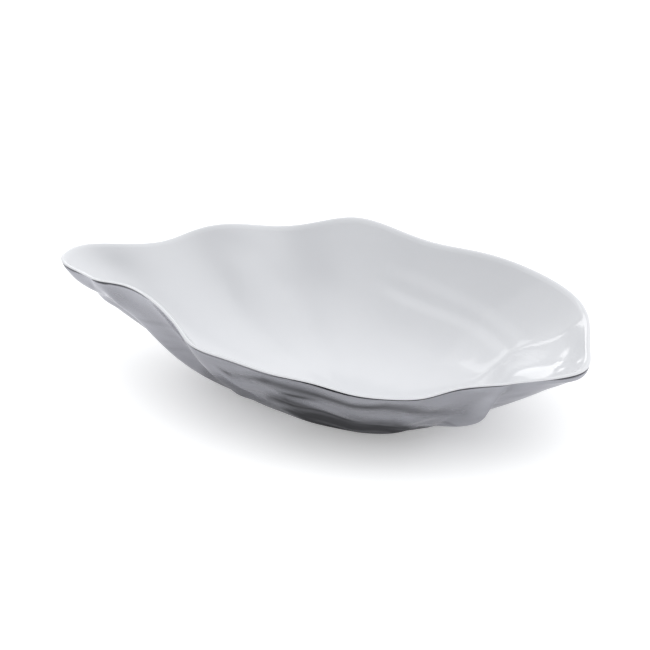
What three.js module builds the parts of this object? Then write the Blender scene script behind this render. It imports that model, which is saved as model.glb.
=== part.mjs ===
// A long serving bowl in the form of an oyster's lower shell: a thin cast metal shell with a white
// enamel lining that laps over its lip. Millimetres. +X runs along the bowl towards its broad end,
// +Y towards its back, +Z up, and the origin is the centre of the flat foot, on the table.
import * as THREE from 'three';

// Overall sizes, over the outer edge of the lip
const LENGTH = 382;
const WIDTH = 219;
const LIP_HIGH = 80;
const LIP_LOW = 54;

// The flat oval foot, and how far the lip reaches from the foot's centre
const FOOT_LENGTH = 125;
const FOOT_WIDTH = 81;
const FOOT_TO_BEAK = 220;
const FOOT_TO_BACK = 126;

// Thicknesses: the metal is full in the middle of the foot and thins towards the lip
const WALL = 3;
const LIP_WALL = 1.8;
const ENAMEL = 0.6;
const SEAT_GAP = 0.3;

// The enamel's edge: a rounded bead on top of the lip, and a narrow lap down its outside
const BEAD_HEIGHT = 0.8;
const LAP_HEIGHT = 0.5;

// How finely the curved faces are divided
const SPOKES = 128;
const WALL_STEPS = 10;
const BEAD_STEPS = 4;

// A wall section runs from the foot to the lip as a cubic curve. Its handles are given as shares of
// the way from foot to lip: hug is how far it stays on the table, reach and rise place the belly.
const LEAN_WALL = { hug: 0.1, reach: 0.61, rise: 0.61 };
const FULL_WALL = { hug: 0.5, reach: 0.8, rise: 0.26 };

// Powers that shape the metal: how late it thins towards the lip, and how low on the wall the inside
// parts from the outside to run on as one dish to the middle of the floor.
const THINNING = 4;
const DISHING = 5;

// The lobe that swells out of the wall beside the fold: how far it stands out, its middle along the
// lip in stations and up the wall as a share of the way, and how far it spreads each way.
const LOBE_SWELL = 7;
const LOBE_STATION = 14.2;
const LOBE_SPREAD = 0.7;
const LOBE_RISE = 0.66;
const LOBE_TALL = 0.34;
const LOBE_FALL = 2;

// Stations along the lip, counter-clockwise from the beak: place and height in millimetres as drawn,
// then the fullness of the wall below, first near the foot and then near the lip, each from 0 for the
// lean section to 1 for the full one.
const STATIONS = [
  [-218, 6, 75, 0.45, 0.45], // tip of the beak
  [-199, -8, 74, 0.35, 0.35],
  [-180, -19, 75, 0.45, 0.45],
  [-156, -29, 79, 0.80, 0.85], // swell in front of the beak
  [-129, -47, 79, 0.75, 0.30],
  [-105, -66, 73, 0.10, 0.70],
  [-90, -77, 66, 0.00, 0.45], // notch
  [-64, -83, 63, 0.10, 0.15],
  [-33, -90, 61, 0.20, 0.35],
  [-5, -91, 59, 0.35, 0.35],
  [22, -93, 56, 0.45, 0.45],
  [45, -89, 54, 0.50, 0.50], // lowest dip of the front
  [68, -83, 55, 0.40, 0.55],
  [89, -74, 60, 0.20, 0.50], // fold
  [113, -66, 62, 0.00, 0.55],
  [129, -59, 63, 0.00, 0.25],
  [160, -38, 63, 0.05, 0.25], // corner of the broad end
  [161, -3, 63, 0.15, 0.15],
  [153, 41, 64, 0.35, 0.35],
  [134, 72, 67, 0.45, 0.45],
  [100, 97, 69, 0.55, 0.55],
  [64, 111, 70, 0.55, 0.55],
  [28, 118, 70, 0.55, 0.55], // valley of the back
  [-4, 126, 74, 0.55, 0.55],
  [-32, 124, 80, 0.60, 0.60], // highest crest of the back
  [-58, 117, 77, 0.55, 0.55],
  [-88, 111, 72, 0.55, 0.55], // second valley
  [-120, 94, 77, 0.55, 0.55], // second crest
  [-145, 82, 74, 0.55, 0.55],
  [-164, 65, 70, 0.50, 0.50], // dip behind the beak
  [-188, 47, 73, 0.50, 0.50],
  [-213, 32, 75, 0.50, 0.50],
];

// The lip's outer edge, stretched from the drawn stations to the overall sizes
function lipPoints() {
  const drawn = new THREE.CatmullRomCurve3(STATIONS.map(([x, y, z]) => new THREE.Vector3(x, y, z)), true);
  const points = Array.from({ length: SPOKES }, (_, spoke) => drawn.getPoint(spoke / SPOKES));
  const { min, max } = new THREE.Box3().setFromPoints(points);
  const stretch = THREE.MathUtils.mapLinear;
  for (const point of points) {
    point.set(
      stretch(point.x, min.x, max.x, -FOOT_TO_BEAK, LENGTH - FOOT_TO_BEAK),
      stretch(point.y, min.y, max.y, FOOT_TO_BACK - WIDTH, FOOT_TO_BACK),
      stretch(point.z, min.z, max.z, LIP_LOW, LIP_HIGH),
    );
  }
  return points;
}

// The fullness of the wall below each point of the lip: x near the foot, y near the lip
function lipFullness() {
  const places = STATIONS.map(([, , , low, high]) => new THREE.Vector3(low, high, 0));
  const drawn = new THREE.CatmullRomCurve3(places, true, 'catmullrom');
  return Array.from({ length: SPOKES }, (_, spoke) => drawn.getPoint(spoke / SPOKES));
}

// The outer face of one wall section, from the edge of the foot up to the lip
function wallSection(lip, full) {
  const angle = Math.atan2(lip.y / FOOT_WIDTH, lip.x / FOOT_LENGTH);
  const foot = new THREE.Vector3(Math.cos(angle) * FOOT_LENGTH / 2, Math.sin(angle) * FOOT_WIDTH / 2, 0);
  const below = new THREE.Vector3(lip.x, lip.y, 0);
  const share = (name, fullness) => THREE.MathUtils.lerp(LEAN_WALL[name], FULL_WALL[name], fullness);
  const start = foot.clone().lerp(below, share('hug', full.x));
  const belly = foot.clone().lerp(below, share('reach', full.y)).setZ(lip.z * share('rise', full.y));
  return new THREE.CubicBezierCurve3(foot, start, belly, lip);
}

// How far the lobe stands out of the wall
function lobeSwell(spoke, height) {
  const along = (spoke * STATIONS.length / SPOKES - LOBE_STATION) / LOBE_SPREAD;
  const up = (height - LOBE_RISE) / LOBE_TALL;
  return LOBE_SWELL * Math.max(0, 1 - along ** 2 - up ** 2) ** LOBE_FALL;
}

// The wall as rings of spots from foot to lip: the place on the outer face, the place that the inside
// is measured from, the uphill and inward directions, and the thickness of the metal.
function wallSpots() {
  const fullness = lipFullness();
  const sections = lipPoints().map((lip, spoke) => wallSection(lip, fullness[spoke]));
  return Array.from({ length: WALL_STEPS + 1 }, (_, step) => {
    const height = step / WALL_STEPS;
    const plain = sections.map((section) => section.getPoint(height));
    const metal = THREE.MathUtils.lerp(WALL, LIP_WALL, height ** THINNING);
    return sections.map((section, spoke) => {
      const uphill = section.getTangent(height);
      const round = plain[(spoke + 1) % SPOKES].clone().sub(plain.at(spoke - 1));
      const inward = uphill.clone().cross(round).normalize();
      const place = plain[spoke].clone().addScaledVector(inward, -lobeSwell(spoke, height));
      const dished = plain[spoke].clone().addScaledVector(section.v0, -((1 - height) ** DISHING));
      return { place, dished, uphill, inward, metal };
    });
  });
}

const spots = wallSpots();

// The rings of one layer below the lip: the outer face, or a face at some distance inside the metal
const outerLayer = () => spots.slice(0, WALL_STEPS).map((ring) => ring.map(({ place }) => place));
const innerLayer = (coat) => spots.slice(1, WALL_STEPS).map((ring) => ring.map(
  ({ dished, inward, metal }) => dished.clone().addScaledVector(inward, metal + coat),
));

// A ring at the lip, inward of its outer edge and back down the wall
const lipRing = (depth, back) => spots[WALL_STEPS].map(
  ({ place, inward, uphill }) => place.clone().addScaledVector(inward, depth).addScaledVector(uphill, -back),
);

// A closed solid from its bottom point, the rings up its outside, the rings up its inside, and its
// top point. Both sides are split along the same diagonals, so that layers nest without touching.
function closedSolid(bottom, outside, inside, top) {
  const rings = [...outside, ...inside.toReversed()];
  const points = [bottom, ...rings.flat(), top];
  const at = (ring, spoke) => 1 + ring * SPOKES + spoke % SPOKES;
  const last = rings.length - 1;
  const faces = [];
  for (let spoke = 0; spoke < SPOKES; spoke += 1) {
    faces.push(0, at(0, spoke + 1), at(0, spoke));
    for (let ring = 0; ring < last; ring += 1) {
      const [a, b] = [at(ring, spoke), at(ring, spoke + 1)];
      const [c, d] = [at(ring + 1, spoke + 1), at(ring + 1, spoke)];
      faces.push(...(ring < outside.length ? [a, b, c, a, c, d] : [a, b, d, b, c, d]));
    }
    faces.push(at(last, spoke), at(last, spoke + 1), points.length - 1);
  }
  const geometry = new THREE.BufferGeometry().setFromPoints(points);
  geometry.setIndex(faces);
  geometry.computeVertexNormals();
  return geometry;
}

// A point above the foot's centre
const aboveFoot = (height) => new THREE.Vector3(0, 0, height);

// Cast metal shell, which stops just under the enamel's edge
function castShell() {
  const back = BEAD_HEIGHT + LAP_HEIGHT + SEAT_GAP;
  const outside = [...outerLayer(), lipRing(0, back)];
  const inside = [...innerLayer(0), lipRing(LIP_WALL, back)];
  return closedSolid(aboveFoot(0), outside, inside, aboveFoot(WALL));
}

// Enamel lining, with its bead over the lip and its lap down the outside
function enamelLining() {
  const under = SEAT_GAP;
  const face = SEAT_GAP + ENAMEL;
  const lap = BEAD_HEIGHT + LAP_HEIGHT;
  const bead = Array.from({ length: BEAD_STEPS + 1 }, (_, step) => {
    const turn = Math.PI * step / BEAD_STEPS;
    const depth = (LIP_WALL + face) * (1 - Math.cos(turn)) / 2;
    return lipRing(depth, BEAD_HEIGHT * (1 - Math.sin(turn)));
  });
  const outside = [...innerLayer(under), lipRing(LIP_WALL + under, lap), lipRing(0, lap), ...bead];
  return closedSolid(aboveFoot(WALL + under), outside, innerLayer(face), aboveFoot(WALL + face));
}

// A named sub-part with its own finish
function subPart(name, geometry, color, roughness, metalness) {
  const mesh = new THREE.Mesh(geometry, new THREE.MeshStandardMaterial({ color, roughness, metalness }));
  mesh.name = name;
  return mesh;
}

const bowl = new THREE.Group();
bowl.add(subPart('cast_shell', castShell(), '#a9a9b2', 0.22, 1));
bowl.add(subPart('enamel_lining', enamelLining(), '#eeeff2', 0.12, 0));

export default bowl;
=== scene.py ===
import math

import bpy
import numpy as np
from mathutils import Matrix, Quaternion, Vector


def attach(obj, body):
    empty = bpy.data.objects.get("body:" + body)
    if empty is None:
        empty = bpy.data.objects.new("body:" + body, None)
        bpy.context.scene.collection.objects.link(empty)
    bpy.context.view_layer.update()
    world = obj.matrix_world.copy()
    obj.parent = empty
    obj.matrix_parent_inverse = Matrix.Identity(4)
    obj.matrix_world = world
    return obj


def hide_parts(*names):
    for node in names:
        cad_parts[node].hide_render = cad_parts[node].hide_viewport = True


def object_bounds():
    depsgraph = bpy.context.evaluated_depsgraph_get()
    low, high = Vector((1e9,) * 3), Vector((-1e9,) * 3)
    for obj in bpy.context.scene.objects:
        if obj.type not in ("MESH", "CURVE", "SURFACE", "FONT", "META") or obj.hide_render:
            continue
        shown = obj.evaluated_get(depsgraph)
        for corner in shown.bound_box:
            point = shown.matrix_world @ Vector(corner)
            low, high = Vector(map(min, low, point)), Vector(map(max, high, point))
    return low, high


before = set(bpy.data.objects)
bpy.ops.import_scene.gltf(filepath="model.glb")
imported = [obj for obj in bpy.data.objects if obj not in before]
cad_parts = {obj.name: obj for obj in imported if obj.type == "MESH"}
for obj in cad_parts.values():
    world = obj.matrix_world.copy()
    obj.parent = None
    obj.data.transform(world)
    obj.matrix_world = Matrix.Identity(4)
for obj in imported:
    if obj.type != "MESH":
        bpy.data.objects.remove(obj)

# The box of the imported model: the lip is fitted to it
cad_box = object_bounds()

# Lengths of the bowl are in millimetres, and meshes are written in metres
MM = 0.001

# The lip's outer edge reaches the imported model's box, and dips to this height
LIP_LOW = 54.0

# The flat oval foot
FOOT_LENGTH = 125.0
FOOT_WIDTH = 81.0

# Thicknesses: the metal is full in the middle of the foot and thins towards the lip. The powers say how
# late it thins, and how low on the wall the inside parts from the outside to run on as one dish.
WALL = 3.0
LIP_WALL = 1.8
THINNING = 4
DISHING = 5
ENAMEL = 0.6
SEAT_GAP = 0.3

# The enamel's edge: the height of its bead and of the lap below it on the outside, how far inward the
# bead's top lies, and how far the bead falls down the inside
BEAD_HEIGHT = 0.5
LAP_HEIGHT = 0.2
BEAD_TOP = 0.8
BEAD_FALL = 4.0
METAL_BACK = BEAD_HEIGHT + LAP_HEIGHT + SEAT_GAP

# Under the bead the metal's inner corner is taken off: how thick it stays, and how far down that starts
CORNER_WALL = 1.1
CORNER_BACK = 2.6

# How finely the pieces are divided: columns round the bowl, rows up the wall and how they crowd towards
# the lip, rings across the foot, and steps over each half of the bead
COLUMNS = 576
ROWS = 84
HIDDEN_ROWS = 28
CROWDING = 1.4
FOOT_RINGS = 6
BEAD_STEPS = 10

# Handles of the wall's section, as shares of the way from foot to lip: how far it stays on the table,
# and how far out and how high its belly is
LEAN_WALL = np.array([0.10, 0.61, 0.61])
FULL_WALL = np.array([0.50, 0.80, 0.26])

# Stations along the lip, counter-clockwise from the beak: x, y and height as drawn, then the fullness
# of the wall below, near the foot and near the lip
STATIONS = np.array([
    (-218, 6, 75, 0.45, 0.45),  # tip of the beak
    (-199, -8, 74, 0.35, 0.35),
    (-180, -19, 75, 0.45, 0.45),
    (-156, -29, 79, 0.80, 0.85),  # swell in front of the beak
    (-129, -47, 79, 0.75, 0.30),
    (-105, -66, 73, 0.10, 0.70),
    (-90, -77, 66, 0.00, 0.45),  # notch
    (-64, -83, 63, 0.10, 0.15),
    (-33, -90, 61, 0.20, 0.35),
    (-5, -91, 59, 0.35, 0.35),
    (22, -93, 56, 0.45, 0.45),
    (45, -89, 54, 0.50, 0.50),  # lowest dip of the front
    (68, -83, 55, 0.40, 0.55),
    (89, -74, 60, 0.20, 0.50),  # fold
    (113, -66, 62, 0.00, 0.55),
    (129, -59, 63, 0.00, 0.25),
    (160, -38, 63, 0.05, 0.25),  # corner of the broad end
    (161, -3, 63, 0.15, 0.15),
    (153, 41, 64, 0.35, 0.35),
    (134, 72, 67, 0.45, 0.45),
    (100, 97, 69, 0.55, 0.55),
    (64, 111, 70, 0.55, 0.55),
    (28, 118, 70, 0.55, 0.55),  # valley of the back
    (-4, 126, 74, 0.55, 0.55),
    (-32, 124, 80, 0.60, 0.60),  # highest crest of the back
    (-58, 117, 77, 0.55, 0.55),
    (-88, 111, 72, 0.55, 0.55),  # second valley
    (-120, 94, 77, 0.55, 0.55),  # second crest
    (-145, 82, 74, 0.55, 0.55),
    (-164, 65, 70, 0.50, 0.50),  # dip behind the beak
    (-188, 47, 73, 0.50, 0.50),
    (-213, 32, 75, 0.50, 0.50),
])


# Curves

def basis(f):
    """The four weights of a uniform cubic spline at the share f between two knots."""
    g = 1 - f
    return np.stack([g**3, 3 * f**3 - 6 * f**2 + 4, 3 * g**3 - 6 * g**2 + 4, f**3]) / 6


def closed_curve(values, count):
    """A smooth closed curve through the values, sampled count times round."""
    n = len(values)
    ring = np.eye(n)
    system = (4 * ring + np.roll(ring, 1, 1) + np.roll(ring, -1, 1)) / 6
    knots = np.linalg.solve(system, values)
    place = np.arange(count) * n / count
    cell = np.floor(place).astype(int)
    weights = basis(place - cell)
    return sum(w[:, None] * knots[(cell + k - 1) % n] for k, w in enumerate(weights))


def smoothstep(low, high, value):
    t = np.clip((value - low) / (high - low), 0, 1)
    return t * t * (3 - 2 * t)


def bump(value, middle, spread):
    return np.exp(-((value - middle) / spread)**2)


def unit(v):
    return v / np.linalg.norm(v, axis=-1, keepdims=True)


# Values for every column of the mesh. Heights are shares of the way up the wall, from foot to lip

STATION = np.arange(COLUMNS) * len(STATIONS) / COLUMNS
HALF_ROUND = len(STATIONS) / 2


def from_station(middle):
    """How many stations each column lies from one, the shorter way round the bowl."""
    return (STATION - middle + HALF_ROUND) % (2 * HALF_ROUND) - HALF_ROUND


def along_lip(table):
    """Values from a table of stations and the value at each."""
    return np.interp(STATION, *np.transpose(table))


def stretch(ends, place=STATION):
    """1 along a stretch and 0 past it, from where it starts, is full, begins to fall and ends."""
    start, full, falling, end = ends
    return smoothstep(start, full, place) * smoothstep(end, falling, place)


def bumps(table, height):
    """The sum of bumps, from a table of their size, station and spread, and height and spread."""
    return sum(
        size * bump(from_station(middle), 0, wide) * bump(height, up, tall)
        for size, middle, wide, up, tall in table
    )


def steps(table, place):
    """The sum of steps, from a table of their size and where they start and end."""
    return sum(size * smoothstep(start, end, place) for size, start, end in table)


def noise_layer(height, cells_round, cells_up, seed):
    """Smooth noise of about -1 to 1 that closes round the bowl."""
    rng = np.random.default_rng(seed)
    lattice = rng.uniform(-2, 2, (cells_round, cells_up + 4))
    a = STATION * cells_round / len(STATIONS)
    u = np.clip(height, 0, 1) * cells_up
    i, j = np.floor(a).astype(int), np.floor(u).astype(int)
    total = 0
    for p, wa in enumerate(basis(a - i)):
        for q, wu in enumerate(basis(u - j)):
            total = total + wa * wu * lattice[(i + p - 1) % cells_round, j + q]
    return total


def noise(table, height):
    """The sum of noise layers, from a table of their size, cells round the bowl and up, and seed."""
    return sum(size * noise_layer(height, *layer) for size, *layer in table)


# The bowl's wall

def lip_curve():
    """The lip's outer edge, one row for each column of the mesh, and the wall's fullness below it."""
    drawn = closed_curve(STATIONS, COLUMNS)
    low, high = np.array(cad_box[0]) / MM, np.array(cad_box[1]) / MM
    low[2] = LIP_LOW
    lip = drawn[:, :3]
    lip = low + (lip - lip.min(0)) * (high - low) / np.ptp(lip, axis=0)
    return lip, drawn[:, 3:]


LIP, FULLNESS = lip_curve()


def wall_handles():
    """Three points of each column's section, which ends at the lip: foot's edge, start and belly."""
    angle = np.arctan2(LIP[:, 1] / FOOT_WIDTH, LIP[:, 0] / FOOT_LENGTH)
    foot = np.stack([np.cos(angle) * FOOT_LENGTH / 2, np.sin(angle) * FOOT_WIDTH / 2, 0 * angle], -1)
    span = (LIP - foot) * (1, 1, 0)
    low, high = FULLNESS.T[:, :, None]
    hug = LEAN_WALL[0] + (FULL_WALL[0] - LEAN_WALL[0]) * low
    reach = LEAN_WALL[1] + (FULL_WALL[1] - LEAN_WALL[1]) * high
    rise = LEAN_WALL[2] + (FULL_WALL[2] - LEAN_WALL[2]) * high
    return foot, foot + span * hug, foot + span * reach + LIP * (0, 0, 1) * rise


FOOT, START, BELLY = wall_handles()

# Millimetres at the lip for a whole share of the way up, which turns distances below the lip into shares
LIP_SPEED = 3 * np.linalg.norm(LIP - BELLY, axis=-1)


def heights(rows, back):
    """Heights for each row and column, closer together near the lip, ending short of it."""
    even = np.linspace(0, 1, rows + 1)[:, None]
    return (1 - (1 - even)**CROWDING) * (1 - back / LIP_SPEED)


def wall(height):
    """The plain outer face: places, uphill and inward directions for an array of heights."""
    t = height[..., None]
    place = (1 - t)**3 * FOOT + 3 * (1 - t)**2 * t * START + 3 * (1 - t) * t**2 * BELLY + t**3 * LIP
    uphill = unit((1 - t)**2 * (START - FOOT) + 2 * (1 - t) * t * (BELLY - START) + t**2 * (LIP - BELLY))
    along = np.roll(place, -1, 1) - np.roll(place, 1, 1)
    return place, uphill, unit(np.cross(uphill, along))


# Relief of the outside, in millimetres

# The lobe beside the fold: swell, station and spread, height and spread, and power of its fall
LOBE_SWELL = 7.0
LOBE_STATION = 14.2
LOBE_SPREAD = 0.7
LOBE_RISE = 0.66
LOBE_TALL = 0.34
LOBE_FALL = 2

# Growth ripples, long and short, how they sway up and down, and the heights between which they show
RIPPLES = ((0.45, 22, 8, 3), (0.16, 46, 17, 4))
RIPPLE_SWAY = ((0.05, 20, 1, 8),)
RIPPLE_REACH = (0.05, 0.2, 0.95, 1.0)

# Where ripples are calmer, the beak's panel and the flange: by what share, station and spread
CALM_PLACES = ((0.65, 3.2, 1.4), (0.4, 15.5, 1.2))

# A pair of bands along the belly: swell, distance apart, stretch, where they set in, and upper crest
BAND_SWELL = 0.4
BAND_WAVE = 0.19
BAND_STRETCH = (5.9, 6.8, 12.6, 13.6)
BAND_START = 0.45
BAND_FULL = 0.6
BAND_CREST = ((0, 0.85), (6, 0.84), (8, 0.87), (11, 0.89), (12.5, 0.86), (14, 0.8), (32, 0.85))

# A slanted crease that parts the tip of the beak: depth, station at the lip, stations it would slant by
# over a whole wall, spread, and where it sets in
CREASE_DEPTH = 0.5
CREASE_STATION = 1.65
CREASE_SLANT = 7
CREASE_SPREAD = 0.12
CREASE_START = 0.86
CREASE_FULL = 0.93

# Swellings and hollows, and the height from which they die out towards the lip
SWELLINGS = (
    (1.8, 0.9, 0.7, 0.92, 0.08),  # tip of the beak
    (1.5, 0.35, 0.5, 0.94, 0.06),
    (-1.2, 0.35, 0.5, 0.845, 0.025),
    (0.9, 0.35, 0.5, 0.79, 0.03),
    (1.6, 2.0, 0.35, 0.87, 0.06),
    (0.8, 5.25, 0.4, 0.5, 0.06),  # below the notch
    (-1.5, 5.3, 0.5, 0.36, 0.07),
    (2.0, 14.4, 0.3, 0.7, 0.09),  # end of the lobe
    (2.0, 16.4, 0.6, 0.9, 0.07),  # corner of the broad end
    (2.2, 16.1, 0.5, 0.965, 0.035),
    (1.7, 17.3, 0.6, 0.88, 0.1),
)
SWELLING_TOP = 0.98


def lobe(height):
    along = (STATION - LOBE_STATION) / LOBE_SPREAD
    up = (height - LOBE_RISE) / LOBE_TALL
    return LOBE_SWELL * np.maximum(0, 1 - along**2 - up**2)**LOBE_FALL


def growth_ripples(height):
    calm = sum(share * bump(from_station(middle), 0, wide) for share, middle, wide in CALM_PLACES)
    return noise(RIPPLES, height + noise(RIPPLE_SWAY, 0 * height)) * (1 - calm)


def belly_bands(height):
    turn = 2 * math.pi * (height - along_lip(BAND_CREST)) / BAND_WAVE
    return BAND_SWELL * np.cos(turn) * stretch(BAND_STRETCH) * smoothstep(BAND_START, BAND_FULL, height)


def tip_crease(height):
    beside = from_station(CREASE_STATION - CREASE_SLANT * (1 - height))
    return -CREASE_DEPTH * bump(beside, 0, CREASE_SPREAD) * smoothstep(CREASE_START, CREASE_FULL, height)


def outer_relief(height):
    """How far the outside stands proud of the plain wall."""
    waves = (growth_ripples(height) + belly_bands(height)) * stretch(RIPPLE_REACH, height)
    swellings = bumps(SWELLINGS, height) * smoothstep(1.0, SWELLING_TOP, height)
    return lobe(height) + waves + tip_crease(height) + swellings


# Painted shade and dark reflections on the outside, as shares of a full layer

# The long painted dark streak under the lip: amount, height and spread
STREAK_AMOUNT = (
    (0, 0), (6.2, 0), (6.6, 0.4), (7.2, 0.75), (7.7, 1), (8, 0.9), (9, 0.95), (10, 0.85), (12, 0.8),
    (12.7, 0.55), (13.3, 0.25), (14.2, 0), (32, 0),
)
STREAK_HEIGHT = (
    (0, 0.8), (6.3, 0.81), (6.6, 0.78), (7, 0.795), (7.5, 0.85), (7.8, 0.88), (8, 0.88), (9, 0.865),
    (10, 0.86), (10.5, 0.88), (11, 0.905), (11.5, 0.89), (12, 0.84), (12.5, 0.77), (13, 0.715),
    (13.3, 0.68), (15, 0.8), (32, 0.8),
)
STREAK_SPREAD = ((0, 0.06), (8.2, 0.06), (9.5, 0.048), (11.2, 0.048), (12, 0.06), (32, 0.06))

# A short painted dark streak below it towards the notch, and one towards the fold: amount, height, spread and
# stretch
NOTCH_STREAK_AMOUNT = 0.8
NOTCH_STREAK_HEIGHT = 0.785
NOTCH_STREAK_SPREAD = 0.026
NOTCH_STREAK_STRETCH = (7.6, 8.3, 8.5, 9.5)
FOLD_STREAK_AMOUNT = 0.58
FOLD_STREAK_HEIGHT = ((0, 0.7), (11.4, 0.7), (12.2, 0.63), (32, 0.63))
FOLD_STREAK_SPREAD = 0.045
FOLD_STREAK_STRETCH = (9.3, 10.2, 11.5, 12.3)

# The low zone of painted shade, which thickens from the notch towards the dip: amount, upper edge, and how
# far above and below that edge it fades
LOW_AMOUNT = (
    (0, 0.5), (4.6, 0.45), (5.4, 0.6), (6.2, 0.6), (7, 0.5), (7.5, 0.75), (8, 0.88), (9, 0.95), (9.6, 1),
    (12.3, 1), (13.2, 0.8), (15, 0.5), (32, 0.5),
)
LOW_EDGE = (
    (0, 0.22), (2, 0.3), (3.5, 0.45), (4.8, 0.66), (5.4, 0.74), (6.1, 0.74), (6.5, 0.52), (6.8, 0.5),
    (7, 0.57), (7.3, 0.65), (7.6, 0.7), (8, 0.745), (8.5, 0.725), (9, 0.685), (9.5, 0.655), (10, 0.64),
    (11, 0.65), (11.5, 0.64), (12, 0.6), (12.4, 0.53), (13.2, 0.42), (14.5, 0.3), (16, 0.24), (32, 0.22),
)
LOW_ABOVE = 0.06
LOW_BELOW = 0.05

# Fine painted dark streaks, the height in their pattern that follows the long streak, and their stretch on
# the belly
FINE_STREAKS = ((0.13, 14, 24, 21), (0.1, 40, 48, 22))
FINE_LEVEL = 0.86
FINE_STRETCH = (6.4, 7.4, 12.4, 13.4)

# Elsewhere the fine streaks show faintly: how much of them, and the heights where they die out
FAINT_SHARE = 0.8
FAINT_FULL = 0.9
FAINT_END = 0.98

# Painted dark spots on the belly, and faint painted shade on the beak's panel and beside the lobe
SHADE_SPOTS = ((0.55, 6.45, 0.1, 0.8, 0.05), (0.2, 13.3, 0.6, 0.76, 0.1))
PANEL_PATCH = ((0.28, 2.5, 0.8, 0.93, 0.07),)
LOBE_PATCH = ((0.35, 14.65, 0.3, 0.86, 0.12),)

# Painted shade beside the foot: mean amount, how strongly fine streaks vary it, and where it dies out
FOOT_SHADE = 0.5
FOOT_STREAKS = 2
FOOT_SHADE_FULL = 0.2
FOOT_SHADE_END = 0.5

# Faint painted shade on the tip of the beak: amount, stretch on both sides of the tip, and where it sets in
TIP_SHADE = 0.12
TIP_STRETCH = (-2.5, -0.5, 1.1, 1.6)
TIP_START = 0.5
TIP_FULL = 0.8


def fine_streaks(height):
    return noise(FINE_STREAKS, height - along_lip(STREAK_HEIGHT) + FINE_LEVEL)


def shade_streaks(height):
    """The long painted dark streak under the lip and the two short ones below it."""
    long = bump(height, along_lip(STREAK_HEIGHT), along_lip(STREAK_SPREAD))
    by_notch = bump(height, NOTCH_STREAK_HEIGHT, NOTCH_STREAK_SPREAD) * stretch(NOTCH_STREAK_STRETCH)
    by_fold = bump(height, along_lip(FOLD_STREAK_HEIGHT), FOLD_STREAK_SPREAD) * stretch(FOLD_STREAK_STRETCH)
    return along_lip(STREAK_AMOUNT) * long + NOTCH_STREAK_AMOUNT * by_notch + FOLD_STREAK_AMOUNT * by_fold


def low_zone(height):
    edge = along_lip(LOW_EDGE)
    return along_lip(LOW_AMOUNT) * smoothstep(edge + LOW_ABOVE, edge - LOW_BELOW, height)


def painted_shade(height):
    """How much painted shade and dark reflection the outside gets: most low on the front of the belly."""
    fine = fine_streaks(height)
    belly = shade_streaks(height) + low_zone(height) + bumps(SHADE_SPOTS, height) + fine * stretch(FINE_STRETCH)
    foot = np.clip(FOOT_SHADE + FOOT_STREAKS * fine, 0, 1) * smoothstep(FOOT_SHADE_END, FOOT_SHADE_FULL, height)
    tip = TIP_SHADE * stretch(TIP_STRETCH, from_station(0)) * smoothstep(TIP_START, TIP_FULL, height)
    faint = np.clip(FAINT_SHARE * fine, 0, 1) * smoothstep(FAINT_END, FAINT_FULL, height)
    layers = [belly, foot, tip, bumps(PANEL_PATCH, height), bumps(LOBE_PATCH, height), faint]
    return np.clip(np.maximum.reduce(layers), 0, 1)


# The dark line under the enamel's edge, partly a dark seam and partly painted shade of the gap there, in a
# shallow groove and with soft sides: width in millimetres, and how dark it is

GROOVE_DEPTH = 0.3
LINE_SOFTNESS = 0.2
LINE_WIDTH = (
    (0, 0.8), (0.8, 0.9), (1.2, 0), (1.6, 0), (1.65, 1.2), (2.1, 2), (2.5, 1.3), (3.6, 1.2), (4.2, 0.2),
    (5, 0.7), (5.7, 0), (6.1, 1.4), (6.4, 1.8), (8, 2.2), (8.4, 1.2), (9, 2.4), (9.5, 2.8), (10.2, 1.6),
    (11.5, 1.1), (13, 1.4), (14, 0.9), (14.9, 0), (15.3, 0), (15.6, 0.9), (16.2, 0.5), (18, 0.9),
    (22, 1.3), (25, 0.6), (28, 1.2), (31, 0.7), (32, 0.8),
)
LINE_DARKNESS = (
    (0, 0.8), (0.8, 0.7), (1.2, 0.5), (1.6, 0.9), (1.65, 0.9), (2.1, 0.8), (2.5, 0.75), (3.6, 0.7),
    (4.2, 0.6), (5, 0.8), (5.7, 0.8), (6.1, 0.9), (6.4, 0.5), (8, 0.5), (8.4, 1), (10.2, 1), (11.5, 0.9),
    (13, 0.9), (14, 0.8), (14.9, 0.7), (15.3, 0.9), (15.6, 0.9), (16.2, 0.8), (18, 0.8), (22, 0.9),
    (25, 0.8), (28, 0.9), (31, 0.8), (32, 0.8),
)


def seam_and_shade_line(height):
    """How dark the line of seam and painted shade is, for rows of heights that end at the enamel's edge."""
    below_edge = (height[-1] - height) * LIP_SPEED
    width = along_lip(LINE_WIDTH)
    inside = smoothstep(width + LINE_SOFTNESS, width - LINE_SOFTNESS, below_edge)
    return inside * smoothstep(0, 2 * LINE_SOFTNESS, width) * along_lip(LINE_DARKNESS)


# Relief of the inside, in millimetres

# Faint ripples and dimples, and the heights between which they show
INNER_RIPPLES = ((0.14, 24, 5, 11),)
DIMPLES = (
    (-0.9, 25.0, 0.45, 0.66, 0.11),
    (-0.9, 26.3, 0.4, 0.68, 0.1),
    (-0.9, 27.0, 0.45, 0.87, 0.09),
    (-1.17, 30.7, 0.8, 0.86, 0.08),
)
INNER_REACH = (0.05, 0.3, 0.9, 1.0)

# A slanted step down the wall of the beak's end: size, station of its edge at some height, stations it
# slants by over a whole wall, its stretch beside the edge, and its middle height and spread
STEP_SIZE = 1.2
STEP_STATION = 27.35
STEP_RISE = 0.9
STEP_SLANT = 2.75
STEP_STRETCH = (-2.2, -0.8, -0.7, 0.1)
STEP_MIDDLE = 0.68
STEP_TALL = 0.2

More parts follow.
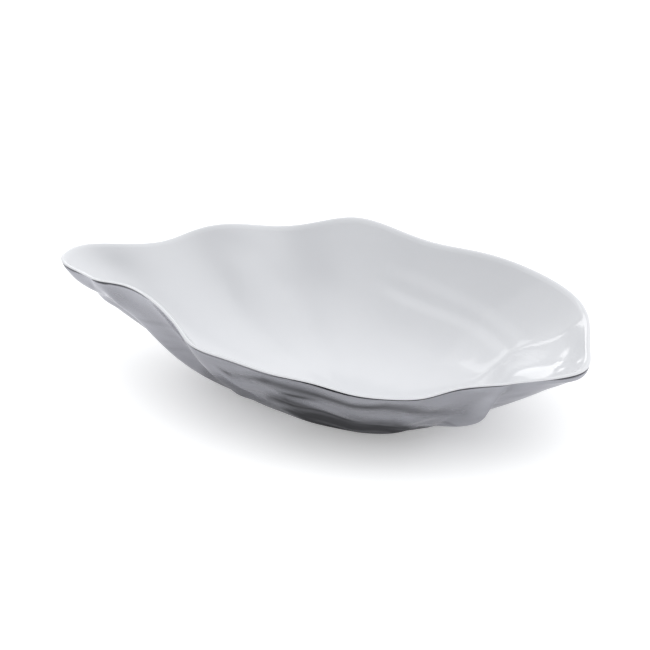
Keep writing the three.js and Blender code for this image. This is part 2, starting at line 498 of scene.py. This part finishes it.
# Two long terraces along the back, which fall towards the broad end: stretch, heights, and steps in the
# wall at the lower one, halfway between them and at the upper one
TERRACE_STRETCH = (18.3, 19.3, 22.2, 23.8)
LOWER_TERRACE = (
    (0, 0.7), (18, 0.48), (19, 0.545), (20, 0.575), (21, 0.6), (22, 0.635), (23.2, 0.665), (32, 0.7),
)
UPPER_TERRACE = ((0, 0.8), (19, 0.65), (20, 0.69), (21, 0.73), (22, 0.78), (23.3, 0.79), (32, 0.8))
LOWER_STEPS = ((1.3, -0.26, -0.02), (-1.1, -0.04, 0.045))
MIDDLE_STEPS = ((0.35, -0.05, 0.05),)
UPPER_STEPS = ((-0.65, -0.045, 0.045), (0.1, 0.02, 0.2))

# Two swellings inside the broad end with a hollow above each, and specks beside them
BROAD_END = (
    (4.2, 17.7, 0.75, 0.56, 0.12),
    (-1.0, 17.7, 0.75, 0.84, 0.09),
    (2.2, 17.1, 0.45, 0.62, 0.1),
    (-1.8, 17.1, 0.45, 0.89, 0.08),
    (0.3, 17.05, 0.065, 0.815, 0.021),
    (0.3, 16.98, 0.065, 0.905, 0.021),
    (0.3, 16.7, 0.065, 0.84, 0.021),
    (0.3, 16.7, 0.065, 0.93, 0.021),
)


def beak_step(height):
    beside = STATION - STEP_STATION - STEP_SLANT * (STEP_RISE - height)
    return STEP_SIZE * stretch(STEP_STRETCH, beside) * bump(height, STEP_MIDDLE, STEP_TALL)


def back_terraces(height):
    lower, upper = height - along_lip(LOWER_TERRACE), height - along_lip(UPPER_TERRACE)
    relief = steps(LOWER_STEPS, lower) + steps(MIDDLE_STEPS, (lower + upper) / 2) + steps(UPPER_STEPS, upper)
    return relief * stretch(TERRACE_STRETCH)


def inner_relief(height):
    """How far the inside stands proud of its plain dish."""
    faint = noise(INNER_RIPPLES, height) + bumps(DIMPLES, height) + beak_step(height)
    return faint * stretch(INNER_REACH, height) + back_terraces(height) + bumps(BROAD_END, height)


# Meshes

def solid(name, bottom, rings, top, material, attributes):
    """A closed mesh from its bottom point, rings of points up, over and in, and its top point."""
    points = np.concatenate([[bottom], np.concatenate(rings), [top]]) * MM
    first = 1 + np.arange(len(rings))[:, None] * COLUMNS + np.arange(COLUMNS)
    after = np.roll(first, -1, 1)
    quads = np.stack([first[:-1], after[:-1], after[1:], first[1:]], -1).reshape(-1, 4)
    low_fan = np.stack([np.zeros(COLUMNS, int), after[0], first[0]], -1)
    high_fan = np.stack([first[-1], after[-1], np.full(COLUMNS, len(points) - 1)], -1)
    mesh = bpy.data.meshes.new(name)
    mesh.from_pydata(points.tolist(), [], low_fan.tolist() + quads.tolist() + high_fan.tolist())
    mesh.polygons.foreach_set("use_smooth", np.ones(len(mesh.polygons), bool))
    for key, (at_bottom, values) in attributes.items():
        full = np.zeros(len(points))
        full[0] = at_bottom
        full[1:1 + values.size] = values.ravel()
        mesh.attributes.new(key, "FLOAT", "POINT").data.foreach_set("value", full)
    mesh.update()
    piece = bpy.data.objects.new(name, mesh)
    bpy.context.scene.collection.objects.link(piece)
    mesh.materials.append(material)
    return piece


def lip_ring(depth, back):
    """A ring at the lip, inward of its outer edge and back down the wall."""
    place, uphill, inward = (rows[0] for rows in wall(np.ones((1, COLUMNS))))
    return place + inward * depth - uphill * back


def inner_face(coat, rows, back):
    """The face at some distance inside the metal, from beside the floor's middle up to the lip."""
    height = heights(rows, back)[1:]
    t = height[..., None]
    place, _, inward = wall(height)
    metal = WALL + (LIP_WALL - WALL) * t**THINNING
    return place - FOOT * (1 - t)**DISHING + inward * (metal + coat + inner_relief(height)[..., None])


def cast_shell(material):
    height = heights(ROWS, METAL_BACK)
    place, _, inward = wall(height)
    # The dark seam with painted shade under the enamel's edge, set in a shallow groove
    seam_shade = seam_and_shade_line(height)
    relief = outer_relief(height) - GROOVE_DEPTH * seam_shade
    outside = place - inward * relief[..., None]
    foot = FOOT * np.arange(1, FOOT_RINGS)[:, None, None] / FOOT_RINGS
    inside = inner_face(0, HIDDEN_ROWS, CORNER_BACK)
    rings = [*foot, *outside, lip_ring(CORNER_WALL, METAL_BACK), *inside[::-1]]
    under_foot = np.zeros((FOOT_RINGS - 1, COLUMNS))
    attributes = {
        "ground": (1, np.ones((FOOT_RINGS, COLUMNS))),
        # the dark seam with painted shade under the enamel's edge
        "seam_shade": (0, np.concatenate([under_foot, seam_shade])),
        # painted shade and dark reflections on the outside
        "shade_mask": (0, np.concatenate([under_foot, painted_shade(height)])),
    }
    return solid("shell", np.zeros(3), rings, np.array([0, 0, WALL]), material, attributes)


def enamel_lining(material):
    under, face = SEAT_GAP, SEAT_GAP + ENAMEL
    lap = BEAD_HEIGHT + LAP_HEIGHT
    slope = LIP_WALL + face - BEAD_TOP
    turns = np.linspace(0, math.pi / 2, BEAD_STEPS + 1)
    outer_side = [lip_ring(BEAD_TOP * (1 - math.cos(a)), BEAD_HEIGHT * (1 - math.sin(a))) for a in turns]
    inner_side = [
        lip_ring(BEAD_TOP + slope * math.sin(a), BEAD_FALL * (1 - math.cos(a))) for a in turns[1:-1]
    ]
    rings = [
        *inner_face(under, HIDDEN_ROWS, CORNER_BACK - SEAT_GAP),
        lip_ring(CORNER_WALL + under, lap),
        lip_ring(0, lap),
        *outer_side,
        *inner_side,
        *inner_face(face, ROWS, BEAD_FALL)[::-1],
    ]
    middle = np.array([0, 0, WALL])
    return solid("lining", middle + (0, 0, under), rings, middle + (0, 0, face), material, {})


# Materials

SILVER = (0.318, 0.32, 0.352, 1)
PALE_SILVER = (0.36, 0.362, 0.392, 1)
STREAK_GREY = (0.26, 0.26, 0.28, 1)
# Colour of the painted shade and dark reflections on the outside
PAINTED_SHADE_GREY = (0.058, 0.058, 0.062, 1)
GROUND_GREY = (0.36, 0.36, 0.37, 1)
# Colour of the dark seam with painted shade under the enamel's edge
SEAM_AND_SHADE_BLACK = (0.012, 0.012, 0.014, 1)
METAL_GLINT = (0.93, 0.93, 0.95, 1)
ENAMEL_WHITE = (0.66, 0.665, 0.685, 1)
PALE_ENAMEL = (0.70, 0.705, 0.725, 1)
FLOOR_WHITE = (0.93, 0.93, 0.93, 1)
PALE_FLOOR = (0.95, 0.95, 0.95, 1)
WHITE = (1, 1, 1, 1)

# Scales that make noise longer along the bowl than across it
ALONG_STREAKS = (0.22, 1, 1)
ALONG_SCRATCHES = (0.3, 1, 1)


class Nodes:
    """A material's node tree, with short ways to add and join nodes."""

    def __init__(self, name):
        self.material = bpy.data.materials.new(name)
        self.material.use_nodes = True
        self.tree = self.material.node_tree
        self.shader = self.tree.nodes["Principled BSDF"]

    def add(self, kind, settings=None, **inputs):
        node = self.tree.nodes.new(kind)
        for key, value in (settings or {}).items():
            setattr(node, key, value)
        for key, value in inputs.items():
            self.set(node, key, value)
        return node

    def set(self, node, key, value):
        """Sets or links an input by its name, with _ for a blank, or by its number, as i0."""
        numbered = key[0] == "i" and key[1:].isdigit()
        socket = node.inputs[int(key[1:])] if numbered else node.inputs[key.replace("_", " ")]
        if isinstance(value, bpy.types.NodeSocket):
            self.tree.links.new(value, socket)
        else:
            socket.default_value = value

    def noise(self, scale, detail, axes=(1, 1, 1)):
        coords = self.add("ShaderNodeTexCoord").outputs["Object"]
        mapped = self.add("ShaderNodeMapping", Vector=coords, Scale=axes).outputs["Vector"]
        node = self.add("ShaderNodeTexNoise", Vector=mapped, Scale=scale, Detail=detail, Roughness=0.5)
        return node.outputs["Fac"]

    def ramp(self, value, low, high, to_low, to_high):
        node = self.add("ShaderNodeMapRange", i0=value, i1=low, i2=high, i3=to_low, i4=to_high)
        return node.outputs["Result"]

    def blend(self, factor, a, b):
        return self.add("ShaderNodeMix", {"data_type": "RGBA"}, i0=factor, i6=a, i7=b).outputs[2]

    def math(self, operation, a, b):
        return self.add("ShaderNodeMath", {"operation": operation}, i0=a, i1=b).outputs[0]

    def attribute(self, name):
        return self.add("ShaderNodeAttribute", {"attribute_name": name}).outputs["Fac"]

    def bump(self, height, distance, strength, **normal):
        node = self.add("ShaderNodeBump", Height=height, Distance=distance, Strength=strength, **normal)
        return node.outputs["Normal"]


def cast_metal():
    m = Nodes("polished_cast_metal")
    cloud = m.noise(scale=14, detail=4)
    streak = m.noise(scale=60, detail=4, axes=ALONG_STREAKS)
    scratch = m.noise(scale=900, detail=3, axes=ALONG_SCRATCHES)
    seam_shade, ground, shade_mask = m.attribute("seam_shade"), m.attribute("ground"), m.attribute("shade_mask")
    tone = m.blend(m.ramp(cloud, 0.35, 0.65, 0, 1), SILVER, PALE_SILVER)
    tone = m.blend(m.ramp(streak, 0.4, 0.7, 0, 0.5), tone, STREAK_GREY)
    # Painted shade and dark reflections darken the metal
    tone = m.blend(shade_mask, tone, PAINTED_SHADE_GREY)
    tone = m.blend(m.math("MULTIPLY", ground, 0.8), tone, GROUND_GREY)
    # The dark seam with painted shade under the enamel's edge
    tone = m.blend(seam_shade, tone, SEAM_AND_SHADE_BLACK)
    roughness = m.ramp(streak, 0.3, 0.7, 0.14, 0.24)
    roughness = m.math("ADD", roughness, m.math("MULTIPLY", ground, 0.2))
    roughness = m.math("ADD", roughness, m.math("MULTIPLY", seam_shade, 0.25))
    waves = m.bump(cloud, distance=0.6 * MM, strength=0.5)
    m.set(m.shader, "Base_Color", tone)
    m.set(m.shader, "Roughness", roughness)
    # The metal turns into a dark non-metal where shade and the dark seam are painted
    m.set(m.shader, "Metallic", m.ramp(m.math("MAXIMUM", shade_mask, seam_shade), 0, 1, 1, 0))
    m.set(m.shader, "Specular_IOR_Level", 0.0)
    m.set(m.shader, "Specular_Tint", METAL_GLINT)
    m.set(m.shader, "Normal", m.bump(scratch, distance=0.03 * MM, strength=0.6, Normal=waves))
    return m.material


def white_enamel():
    m = Nodes("white_enamel")
    cloud = m.noise(scale=18, detail=3)
    peel = m.noise(scale=140, detail=2)
    m.set(m.shader, "Base_Color", m.blend(cloud, ENAMEL_WHITE, PALE_ENAMEL))
    m.set(m.shader, "Roughness", m.ramp(cloud, 0.3, 0.7, 0.06, 0.1))
    m.set(m.shader, "Normal", m.bump(peel, distance=0.06 * MM, strength=0.5))
    return m.material


def pale_floor():
    m = Nodes("pale_floor")
    speck = m.noise(scale=300, detail=2)
    m.set(m.shader, "Base_Color", m.blend(speck, FLOOR_WHITE, PALE_FLOOR))
    m.set(m.shader, "Roughness", 0.8)
    m.set(m.shader, "Specular_IOR_Level", 0.1)
    m.set(m.shader, "Emission_Color", WHITE)
    m.set(m.shader, "Emission_Strength", 0.3)
    return m.material


# The bowl

shell = cast_shell(cast_metal())
lining = enamel_lining(white_enamel())
for piece, node, slot in ((shell, "cast_shell", "cast_metal"), (lining, "enamel_lining", "white_enamel")):
    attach(piece, "root")
    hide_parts(node)

# The floor, in metres

FLOOR_SIZE = 40
bpy.ops.mesh.primitive_plane_add(size=FLOOR_SIZE)
floor = bpy.context.object
floor.name = "floor"
floor.data.materials.append(pale_floor())

# Light, in metres: a white tent, and soft boxes aimed at the broad end

TENT_WHITE = (0.98, 0.99, 1.0, 1)
TENT_TOP = (0.18, 0.3, 0.93)
UP = (0, 0, 1)
BROAD_END_MIDDLE = (0.13, 0.0, 0.03)

# Each soft box: its place, its size, how far it leans in degrees, and its power in watts
SOFT_BOXES = (
    ((-0.71, 1.16, 0.47), (0.42, 0.56), 0, 1.3),
    ((-0.84, 0.76, 0.89), (0.28, 0.34), 30, 0.4),
    ((-1.3, 0.48, 0.9), (1.5, 1.5), 0, 3.2),
)


def light_tent():
    """A world that is bright near the tent's top and along the horizon, and dimmer between."""
    world = bpy.data.worlds.new("tent")
    bpy.context.scene.world = world
    world.use_nodes = True
    nodes, links = world.node_tree.nodes, world.node_tree.links
    coords = nodes.new("ShaderNodeTexCoord")

    def level(direction, low, high, at_low, at_high):
        dot = nodes.new("ShaderNodeVectorMath")
        dot.operation = "DOT_PRODUCT"
        dot.inputs[1].default_value = Vector(direction).normalized()
        links.new(coords.outputs["Generated"], dot.inputs[0])
        step = nodes.new("ShaderNodeMapRange")
        step.interpolation_type = "SMOOTHSTEP"
        for socket, value in zip(step.inputs[1:5], (low, high, at_low, at_high)):
            socket.default_value = value
        links.new(dot.outputs["Value"], step.inputs[0])
        return step.outputs["Result"]

    total = nodes.new("ShaderNodeMath")
    links.new(level(TENT_TOP, low=0.1, high=1.0, at_low=0.48, at_high=1.55), total.inputs[0])
    links.new(level(UP, low=0.0, high=0.28, at_low=0.4, at_high=0.0), total.inputs[1])
    links.new(total.outputs[0], nodes["Background"].inputs["Strength"])
    nodes["Background"].inputs["Color"].default_value = TENT_WHITE


def soft_box(place, size, lean, watts):
    data = bpy.data.lights.new("soft_box", "AREA")
    data.shape = "RECTANGLE"
    data.size, data.size_y = size
    data.energy = watts
    box = bpy.data.objects.new("soft_box", data)
    box.location = place
    facing = (Vector(place) - Vector(BROAD_END_MIDDLE)).to_track_quat("Z", "Y")
    box.rotation_euler = (facing @ Quaternion(UP, -math.radians(lean))).to_euler()
    bpy.context.scene.collection.objects.link(box)


light_tent()
for box in SOFT_BOXES:
    soft_box(*box)

# The photo's camera: what it looks at, its angles round from the front and above the floor, and its lens

TARGET = Vector((-35.3, 44.4, 30.2)) * MM
AZIMUTH = math.radians(16)
ELEVATION = math.radians(27)
DISTANCE = 1280 * MM
LENS = 100
SENSOR = 36


def photo_camera():
    data = bpy.data.cameras.new("camera")
    data.lens = LENS
    data.sensor_width = SENSOR
    camera = bpy.data.objects.new("camera", data)
    level_out = math.cos(ELEVATION)
    toward = Vector((
        math.sin(AZIMUTH) * level_out,
        -math.cos(AZIMUTH) * level_out,
        math.sin(ELEVATION),
    ))
    camera.location = TARGET + toward * DISTANCE
    camera.rotation_euler = toward.to_track_quat("Z", "Y").to_euler()
    bpy.context.scene.collection.objects.link(camera)
    return camera


bpy.context.scene.camera = photo_camera()
bpy.context.scene.view_settings.view_transform = "Standard"
